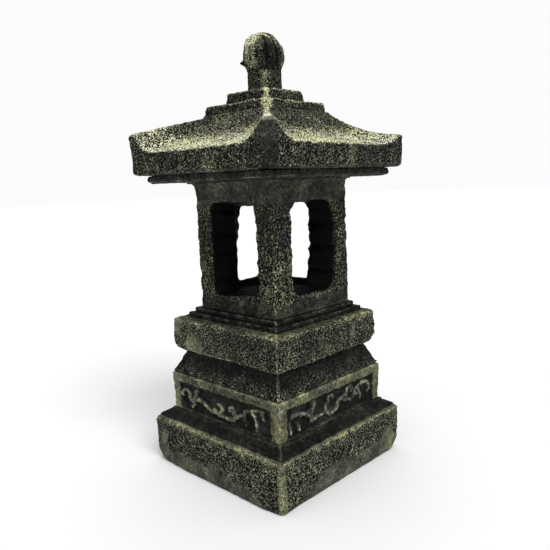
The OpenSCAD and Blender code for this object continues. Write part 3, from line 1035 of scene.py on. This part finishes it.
def chamber_ring(run, z):
    """The chamber's wall at one height, with its points in line with those of the windows."""
    angles = np.concatenate([-run[::-1], run[1:-1]]) * pi / 4 / run[-1]
    turned = np.concatenate([angles + side * pi / 2 for side in range(4)])
    return on_chamber(turned, np.full(len(turned), z))


def welded(parts):
    """Joins (points, skin, faces) parts whose faces already count through all the points."""
    points = np.concatenate([p for p, _, _ in parts])
    skin = np.concatenate([s for _, s, _ in parts])
    faces = [f for _, _, fs in parts for f in fs]
    _, first, where = np.unique(np.round(points, 4), axis=0, return_index=True, return_inverse=True)
    where = where.ravel()
    joined = np.zeros(len(first))
    np.maximum.at(joined, where, skin)
    return points[first], joined, [where[f].tolist() for f in faces]


def window_wall(plan, half, low, top, sill, chamber_top, corner, side):
    """Loops of one wall, from its outer border to the window, through the wall and round
    the inside of the chamber, as (points, skin, stride). The cast windows all differ a little."""
    edge_r = 1.3
    inset_left, inset_right, inset_top, inner_left, inner_right, lift, radius = WINDOW_INSETS[side]
    across = plan.side
    up = round((top - low) / STEP / 4) * 4
    along, out = plan.half_side(half, round_cut(corner), corner)
    run = summed(np.hypot(np.diff(along), np.diff(out)))
    reach = run[-1]

    def on_wall(flat, depth):
        s = flat[:, 0]
        a = np.interp(np.abs(s), run, along) * np.sign(s)
        o = np.interp(np.abs(s), run, out) - depth
        return np.column_stack([a, -o, flat[:, 1]])

    def border(low_z, high_z, s_half):
        s = np.concatenate([-run[::-1], run[1:-1]]) * s_half / reach
        z = np.linspace(low_z, high_z, up + 1)
        return np.concatenate([
            np.column_stack([s, np.full(across, low_z)]),
            np.column_stack([np.full(up, s_half), z[:-1]]),
            np.column_stack([-s, np.full(across, high_z)]),
            np.column_stack([np.full(up, -s_half), z[::-1][:-1]]),
        ])

    def opening(half_w, z0, z1, radius, ragged=0.0, inner=0.0):
        loop = loop_rectangle(half_w, z0, z1, radius, across, up)
        share = loop[:, 0] / half_w
        high = smooth(z0, z1, loop[:, 1])
        left = inset_left + inner * inner_left * high
        right = inset_right + inner * inner_right * high ** 2
        if side == 1:
            right = right + 2.0 * np.abs(2 * high - 1) ** 8
        loop[:, 0] += left * smooth(0, -1, share) - right * smooth(0, 1, share)
        loop[:, 0] -= share * inset_top * high
        if side == 0:
            loop[:, 1] += (0.4 + 1.5 * share) * (1 - high)
        swing = np.sin(loop[:, 1] * 0.42 + 2.1 * side) + 0.8 * np.sin(loop[:, 1] * 0.95 + side)
        swing += 0.25 * np.sin(loop[:, 0] * 1.1 + loop[:, 1] * 1.9 + 3 * side)
        sway = ragged * swing
        loop[:, 0] += sway * np.abs(share)
        loop[:, 1] += 0.6 * sway * (1 - np.abs(share))
        return loop

    outer = border(low, top, reach)
    edge_loop = opening(
        WINDOW_HALF + edge_r, sill + lift - edge_r, sill + WINDOW_H + edge_r, radius + edge_r, 0.25)
    window = opening(WINDOW_HALF, sill + lift, sill + WINDOW_H, radius, 0.25)
    inner_h = WINDOW_H * WINDOW_NARROWING / 2
    middle = sill + WINDOW_H / 2
    mouth = opening(WINDOW_INNER_HALF, middle - inner_h + lift, middle + inner_h, radius, 0.9, 1.0)
    loops = []
    rows = round((half - WINDOW_HALF) / STEP)
    for k in range(rows + 1):
        flat = outer + (edge_loop - outer) * k / rows
        loops.append((on_wall(flat, 0), smooth(low, low + 0.8, flat[:, 1]), 1))
    for a in np.radians(np.linspace(0, 90, 5)[1:]):
        flat = edge_loop + (window - edge_loop) * sin(a)
        loops.append((on_wall(flat, edge_r * (1 - cos(a))), np.ones(len(flat)), 1))
    rows = 16
    depth = half - np.sqrt(CHAMBER_R ** 2 - mouth[:, 0] ** 2)
    for t in np.arange(1, rows + 1) / rows:
        flat = window + (mouth - window) * t
        loops.append((on_wall(flat, edge_r + (depth - edge_r) * t), np.full(len(flat), 1 - 0.8 * t), 2))
    mouth_turned = np.column_stack([np.arcsin(mouth[:, 0] / CHAMBER_R), mouth[:, 1]])
    inside = border(sill, chamber_top, pi / 4)
    for k in (1, 2, 3):
        turned, z = (mouth_turned + (inside - mouth_turned) * k / 3).T
        loops.append((on_chamber(turned, z), np.zeros(len(z)), 2))
    return loops, run


def fire_box():
    half, _, high = size("fire_box")
    low = size("foot_step_upper")[2]
    tenon_z = size("platform_slab")[2] - TENON_DEPTH
    flare, corner = 2.6, 1.5
    cove_w, cove_h = 3.2, 5.6
    half -= flare
    sill = low + CHAMBER_FLOOR
    chamber_top = high - PLUG_DEPTH - END_GAP
    plan = Plan(half, corner)
    parts, total = [], 0
    for side in range(4):
        loops, run = window_wall(plan, half, low, high - cove_h, sill, chamber_top, corner, side)
        c, s = cos(side * pi / 2), sin(side * pi / 2)
        turn = np.array([[c, s, 0], [-s, c, 0], [0, 0, 1]])
        last = None
        for points, weight, stride in loops:
            row = (total, len(points) // stride)
            faces = bridge(last, row) if last else []
            parts.append((points[::stride] @ turn, weight[::stride], faces))
            total += row[1]
            last = row

    # The bed and tenon under the box
    under = Loft(plan, total)
    under.tenon(tenon_z, BOX_TENON, low, half - 6)
    under.ring(plan.square(half, round_cut(corner), corner, low))
    # The cove, the top bed and the socket for the roof's plug
    upper = Loft(plan, under.total)
    outline = [(half + cove_w * x, high + cove_h * z) for x, z in arc(1, -1, 1, 180, 90)]
    outline.append((half + cove_w - 1.5, high))
    skin_rows(upper, outline, corner, fade=0.3)
    socket = ROOF_PLUG + TENON_GAP
    upper.bed(high, [half - 4, socket])
    upper.bed(chamber_top, [socket])
    upper.ring(chamber_ring(run, chamber_top), 0, 2)
    # The chamber's floor
    floor = Loft(plan, upper.total)
    floor.ring(chamber_ring(run, sill), 0, 2)
    floor.bore(CHAMBER_R * 0.6, sill)
    floor.cap()
    parts += [under.arrays(), upper.arrays(), floor.arrays()]
    points, skin, faces = welded(parts)
    # The chamber is a little wider inside the corner between +X and +Y
    x, y, z = points.T
    away = np.hypot(x, y)
    push = np.exp(-((np.arctan2(y, x) - pi / 4) / 0.35) ** 2) * smooth(sill + 1, sill + 24, z)
    push *= smooth(chamber_top, chamber_top - 8, z) * smooth(26, 19.6, away)
    push *= away > CHAMBER_R - 0.1
    points[:, :2] *= (1 + 2.5 * push / np.maximum(away, 1))[:, None]
    # Its foot stands off centre, and that corner is fuller outside
    outer = away > BOX_TENON * 1.5
    points[:, :2] += 0.3 * (smooth(high - 2, low + 10, z) * outer)[:, None]
    points[:, :2] += 1.2 * (smooth(0, 40, x + y) * outer * smooth(high - 1, high - 5, z))[:, None]

    def look(f):
        z = f.z - low
        outside = smooth(half - 1.6, half - 0.6, f.out)
        lintel = smooth(55, 59, z + 5 * (f.wave - 0.5))
        foot = smooth(9, 6, z + 6 * (f.wave - 0.5))
        front = f.front
        pitted = outside * (1 - 0.85 * lintel) * (1 - 0.75 * foot)
        mossy = smooth(30, 14, z + 12 * (f.patch - 0.5)) * smooth(0.45, 0.7, front)
        line = smooth(0.97, 0.985, front) * smooth(16, 8, z)
        pale = 0.39 + 0.04 * lintel - 0.07 * foot + 0.07 * mossy + 0.14 * line
        pale = outside * pale - 0.15 * (1 - outside)
        jamb = f.edge * smooth(0.40, 0.62, f.chip) * (1 - 0.8 * lintel) * outside
        pale += 0.16 * jamb + 0.07 * outside * smooth(0.5, 0.62, f.patch)
        left_post = (f.y < -half + 2) * (1 - lintel) * (1 - foot) * outside
        bare = spots(f, 6, [(-half + 4, -half, low + 24, 3.5)])
        pale += 0.14 * bare - 0.03 * left_post * smooth(0.6, 0.8, front)
        pitted *= 1 - bare
        return pitted, pale, 0.05 + 0.6 * np.maximum(np.maximum(mossy, jamb), 0.7 * left_post)

    stone("fire_box", "fire_box", "pitted_stone", (points, skin, faces), look, wave=0.6)


def bridge(low, high):
    """Faces between two closed rows, each given as (first index, number of points)."""
    (a, n_low), (b, n_high) = low, high
    n = min(n_low, n_high)
    many = max(n_low, n_high) // n
    i = np.arange(n)
    j = (i + 1) % n
    if n_low == n_high:
        return np.stack([a + i, a + j, b + j, b + i], axis=1).tolist()
    if n_low > n_high:
        fine = [a + (i * many + k) % n_low for k in range(many + 1)]
        return np.stack(fine + [b + j, b + i], axis=1).tolist()
    fine = [b + (i * many + k) % n_high for k in range(many, -1, -1)]
    return np.stack([a + i, a + j] + fine, axis=1).tolist()


# ---- Finial ----

LOBES = 8
NECK_R = 9.4
NECK_H = 10.6
NUB_TURN = -136
NUB_RISE = 4.6


def turn_from(angle, degrees):
    """Angles counted from a direction in degrees, from -pi to pi."""
    return (angle - radians(degrees) + pi) % (2 * pi) - pi


def bud_radius(rise, height, girth_r):
    """Radius of the plain bud at a height above its neck."""
    girth = height * 0.38
    if rise < girth:
        return NECK_R + (girth_r - NECK_R) * sin(pi / 2 * rise / girth)
    share = min(1, (rise - girth) / (height - girth))
    return girth_r * (1 - share ** 2) ** 0.375


def finial():
    girth_r, _, high = size("finial")
    low = size("crown_step_upper")[2]
    bud_z = low + NECK_H
    spigot_z = size("roof_stone")[2] - TENON_DEPTH
    plan = Plan(9.3, 1.0, finer=1.45)
    loft = Loft(plan)
    loft.bore(SPIGOT_R - 0.4, spigot_z)
    loft.cap()
    loft.bore(SPIGOT_R, spigot_z + 0.4)
    loft.bore(SPIGOT_R, low)
    loft.ring(plan.circle(NECK_R - 1, low), 0)
    outline = [(NECK_R + 0.3, low), (NECK_R, low + 3), (NECK_R, bud_z)]
    tall = high - bud_z
    steps = ceil(1.5 * tall / STEP)
    for k in range(1, steps):
        rise = tall * sin(pi / 2 * k / steps)
        outline.append((bud_radius(rise, tall, girth_r), bud_z + rise))
    outline.append((0.5, high))
    angle = np.arctan2(*plan.circle(1, 0)[:, 1::-1].T)
    warped = angle + 0.16 * np.sin(2 * angle + 1.0) + 0.10 * np.sin(3 * angle)
    off = (warped * LOBES / (2 * pi) + 0.5) % 1 - 0.5
    rows = divided(outline)
    for k, (r, z) in enumerate(rows):
        ring = plan.circle(r, z)
        rise = z - bud_z
        deep = smooth(0, 6, rise) * smooth(tall + 1.5, tall - 5, rise) * (0.8 + 0.4 * np.sin(3 * angle + 2))
        arc_off = off * 2 * pi * r / LOBES
        groove = 1.25 * deep * np.exp(-(arc_off / 1.3) ** 2)
        lumps = np.sin(5 * angle + 0.35 * rise) * np.sin(0.9 * rise + angle)
        turn = turn_from(angle, NUB_TURN)
        swell = 0.35 * smooth(4, 14, rise) * (1 + lumps) * (1 - np.exp(-(turn / 0.8) ** 2))
        nub = 3.4 * np.exp(-(turn * r / 1.7) ** 4 - ((rise - NUB_RISE) / 1.4) ** 4)
        ring[:, :2] *= ((r - (groove + swell) * min(1, r / 5) + nub) / r)[:, None]
        ring[:, :2] -= 0.9 * float(smooth(6, tall, rise))
        stride = 1 if r > 3.5 or rise < tall / 2 else COARSE
        loft.ring(ring, float(smooth(0, 2, k)), stride)
    loft.cap()

    def facing(f, degrees, width):
        turn = turn_from(np.arctan2(f.y, f.x), degrees)
        return np.exp(-(turn / radians(width)) ** 2)

    def look(f):
        rise = f.z - bud_z
        bud = smooth(-1, 2, rise)
        dome = smooth(8, 17, rise + 8 * (f.wave - 0.5))
        blotch = smooth(0.42, 0.56, f.chip)
        pitted = 0.75 * blotch + 0.15
        pale = 0.41 + 0.52 * dome * (0.25 + 0.75 * blotch) + 0.12 * f.edge
        pale += bud * (0.32 * facing(f, -88, 22) - 0.20 * facing(f, -22, 26) + 0.24 * facing(f, 26, 14))
        pale += (0.28 * facing(f, -46, 20) - 0.04) * smooth(1, -3, rise) - 0.45 * f.dent
        pale -= 0.3 * facing(f, NUB_TURN, 12) * np.exp(-((rise - NUB_RISE) / 1.6) ** 2)
        return pitted, pale, 0.15 + 0.4 * blotch

    stone("finial", "finial", "carved_stone", loft.arrays(), look, wave=0.5, chips=0.5)


# ---- Light, floor and camera ----

CAMERA_TURN = 44.07             # degrees round from the front, towards +X
CAMERA_AWAY = 333.7             # level distance from the lantern's axis
CAMERA_UP = 157.9
CAMERA_ASIDE = 1.5              # step to the right of the line through the axis
CAMERA_PITCH = 8.88             # degrees down
CAMERA_ROLL = 2.18              # degrees, which leans the lantern to the left
CAMERA_LENS = 39.0

SKY = 0.38                      # even light from all round
BACKDROP = 0.97                 # what the camera sees behind the floor
FLOOR_PALE = 0.90
FLOOR_REACH = 6.0               # metres


def soft_sun(name, turn, rise, strength, spread_deg):
    """Broad even light from a turn round the lantern and a rise above it, in degrees."""
    light = bpy.data.lights.new(name, "SUN")
    light.angle = radians(spread_deg)
    light.energy = strength
    a, e = radians(turn), radians(rise)
    way = Vector((sin(a) * cos(e), -cos(a) * cos(e), sin(e)))
    ob = placed(name, light)
    ob.location = (cad_low + cad_high) / 2 + way
    ob.rotation_mode = "QUATERNION"
    ob.rotation_quaternion = (-way).to_track_quat("-Z", "Y")


def studio():
    bpy.context.scene.view_settings.view_transform = "Standard"
    world = bpy.data.worlds.new("studio")
    bpy.context.scene.world = world
    world.use_nodes = True
    tree = world.node_tree
    seen = add(tree, "ShaderNodeLightPath").outputs["Is Camera Ray"]
    back = tree.nodes["Background"]
    link(tree, back.inputs["Color"], (1, 1, 1, 1))
    link(tree, back.inputs["Strength"], maths(tree, "MULTIPLY_ADD", seen, BACKDROP - SKY, SKY))
    soft_sun("key", CAMERA_TURN + 32, 46, 2.0, 35)
    soft_sun("fill", CAMERA_TURN - 50, 22, 0.55, 60)
    soft_sun("top", CAMERA_TURN + 180, 78, 0.9, 50)
    mesh = bpy.data.meshes.new("floor")
    corners = [(x * FLOOR_REACH, y * FLOOR_REACH, 0) for x, y in ((-1, -1), (1, -1), (1, 1), (-1, 1))]
    mesh.from_pydata(corners, [], [(0, 1, 2, 3)])
    matt = {"Base Color": (FLOOR_PALE,) * 3 + (1,), "Roughness": 1.0, "Specular IOR Level": 0.0}
    mesh.materials.append(new_material("floor", lambda tree: matt))
    placed("floor", mesh)


def camera():
    turn, pitch, roll = (radians(a) for a in (CAMERA_TURN, CAMERA_PITCH, CAMERA_ROLL))
    level = Vector((-sin(turn), cos(turn), 0))
    right = Vector((cos(turn), sin(turn), 0))
    up = Vector((0, 0, 1))
    forward = level * cos(pitch) - up * sin(pitch)
    above = level * sin(pitch) + up * cos(pitch)
    lean_right = right * cos(roll) - above * sin(roll)
    lean_up = above * cos(roll) + right * sin(roll)
    data = bpy.data.cameras.new("camera")
    data.lens = CAMERA_LENS
    data.sensor_width = 36.0
    data.clip_start = 0.01
    ob = placed("camera", data)
    place = (up * CAMERA_UP - level * CAMERA_AWAY + right * CAMERA_ASIDE) * MM
    turned = Matrix((lean_right, lean_up, -forward)).transposed().to_4x4()
    ob.matrix_world = Matrix.Translation(place) @ turned
    bpy.context.scene.camera = ob


base_slab()
plinth_step()
relief_block()
waist_block()
platform_slab()
foot_step("foot_step_lower")
foot_step("foot_step_upper")
fire_box()
eave_slab()
roof_stone()
crown_step("crown_step_lower", 0.9, -0.5)
crown_step("crown_step_upper", 0.6, -0.2)
finial()
for node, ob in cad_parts.items():
    if node.endswith("_dowels"):
        ob.material_slots[0].material = MATERIALS["dowel_steel"]
studio()
camera()
